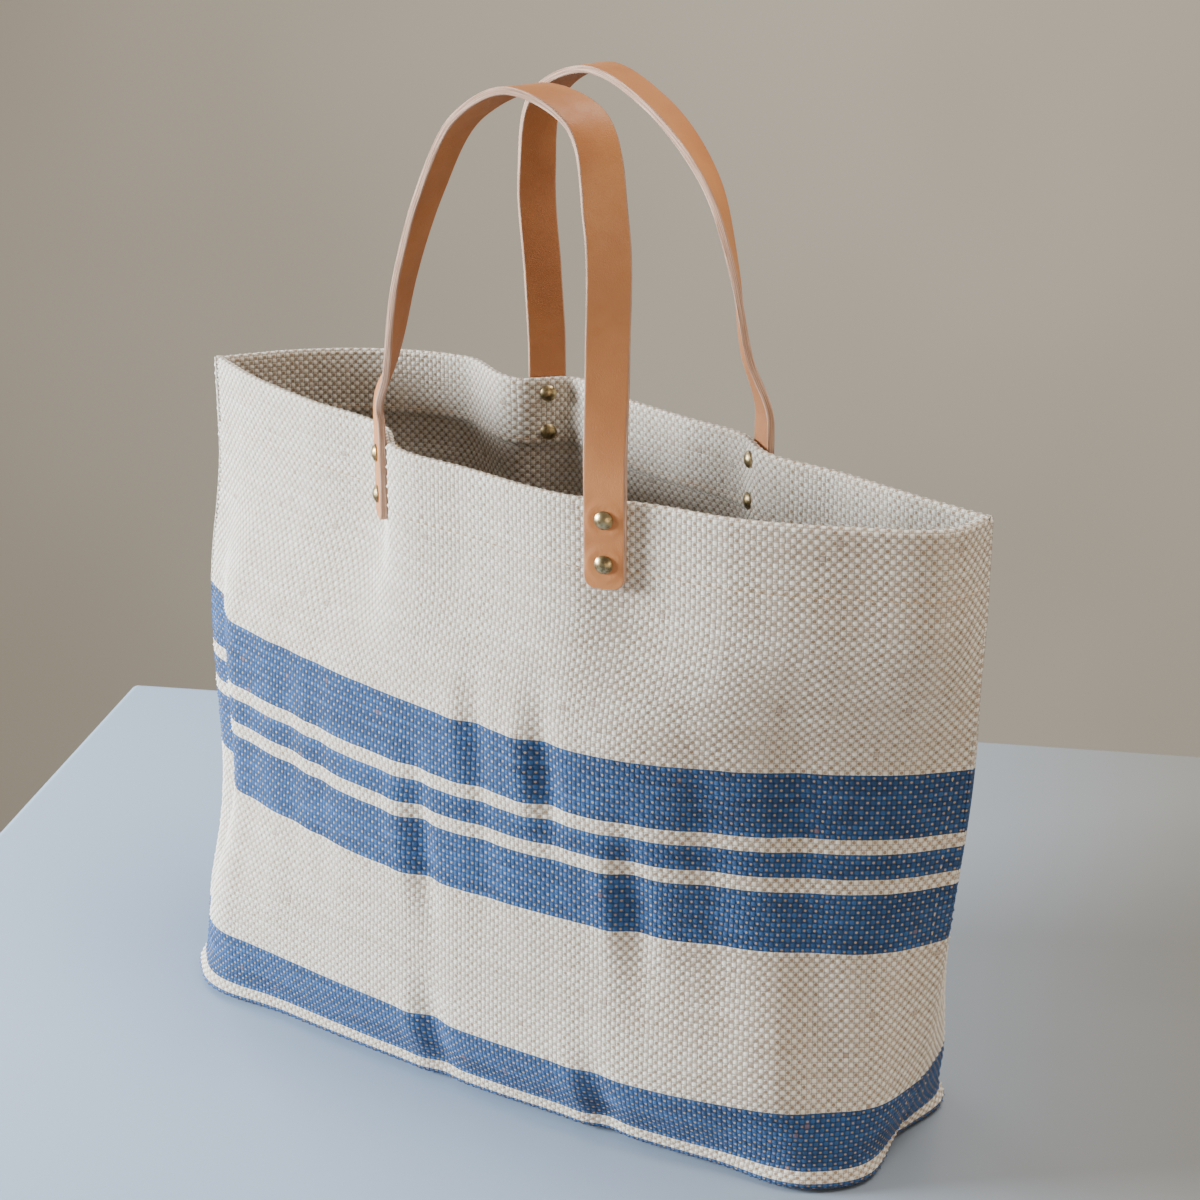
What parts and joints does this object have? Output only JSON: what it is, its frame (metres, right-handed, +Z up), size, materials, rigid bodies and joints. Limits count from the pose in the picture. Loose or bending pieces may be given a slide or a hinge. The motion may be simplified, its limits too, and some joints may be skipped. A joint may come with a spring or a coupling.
{
  "type": "striped tote bag",
  "caption": "Open-topped woven tote bag with horizontal blue stripes, a flat boxed base and two riveted leather strap handles that fold down.",
  "frame": {"origin": "on the floor at the middle of the flat base", "axes": "+Z up through the mouth, -Y towards the front panel, +X towards the right side seam"},
  "size_m": [0.3807, 0.1495, 0.4128],
  "materials": {
    "striped_cloth": "coarse plain weave of thick cream yarn over tan yarn, with blue stripes",
    "thread": "waxed cotton thread",
    "strap_leather": "natural vegetable-tanned leather, smooth grain, pale cut edges",
    "rivet_brass": "antiqued brass, satin"
  },
  "bodies": {
    "bag": {"front_panel": "striped_cloth", "back_panel": "striped_cloth", "front_base_half": "striped_cloth", "back_base_half": "striped_cloth", "front_hem_facing": "striped_cloth", "back_hem_facing": "striped_cloth", "left_side_seam": "striped_cloth", "right_side_seam": "striped_cloth", "bottom_seam": "striped_cloth", "left_corner_seam": "striped_cloth", "right_corner_seam": "striped_cloth", "front_hem_stitching": "thread", "back_hem_stitching": "thread", "front_handle_left_tab": "strap_leather", "front_handle_right_tab": "strap_leather", "rear_handle_left_tab": "strap_leather", "rear_handle_right_tab": "strap_leather", "front_left_upper_rivet_cap": "rivet_brass", "front_left_upper_rivet_post": "rivet_brass", "front_left_lower_rivet_cap": "rivet_brass", "front_left_lower_rivet_post": "rivet_brass", "front_right_upper_rivet_cap": "rivet_brass", "front_right_upper_rivet_post": "rivet_brass", "front_right_lower_rivet_cap": "rivet_brass", "front_right_lower_rivet_post": "rivet_brass", "rear_left_upper_rivet_cap": "rivet_brass", "rear_left_upper_rivet_post": "rivet_brass", "rear_left_lower_rivet_cap": "rivet_brass", "rear_left_lower_rivet_post": "rivet_brass", "rear_right_upper_rivet_cap": "rivet_brass", "rear_right_upper_rivet_post": "rivet_brass", "rear_right_lower_rivet_cap": "rivet_brass", "rear_right_lower_rivet_post": "rivet_brass"},
    "front_handle": {"front_handle_loop": "strap_leather"},
    "rear_handle": {"rear_handle_loop": "strap_leather"}
  },
  "joints": [
    {"name": "front_handle_fold", "type": "hinge", "parent": "bag", "child": "front_handle", "pos_m": [0.00605, -0.04932, 0.275], "axis": [0.9836, -0.1805, 0], "range_deg": [-20, 105], "stiffness_Nm_per_rad": 0.12},
    {"name": "rear_handle_fold", "type": "hinge", "parent": "bag", "child": "rear_handle", "pos_m": [0.01405, 0.05503, 0.275], "axis": [0.9596, -0.2812, 0], "range_deg": [-105, 20], "stiffness_Nm_per_rad": 0.12}
  ]
}
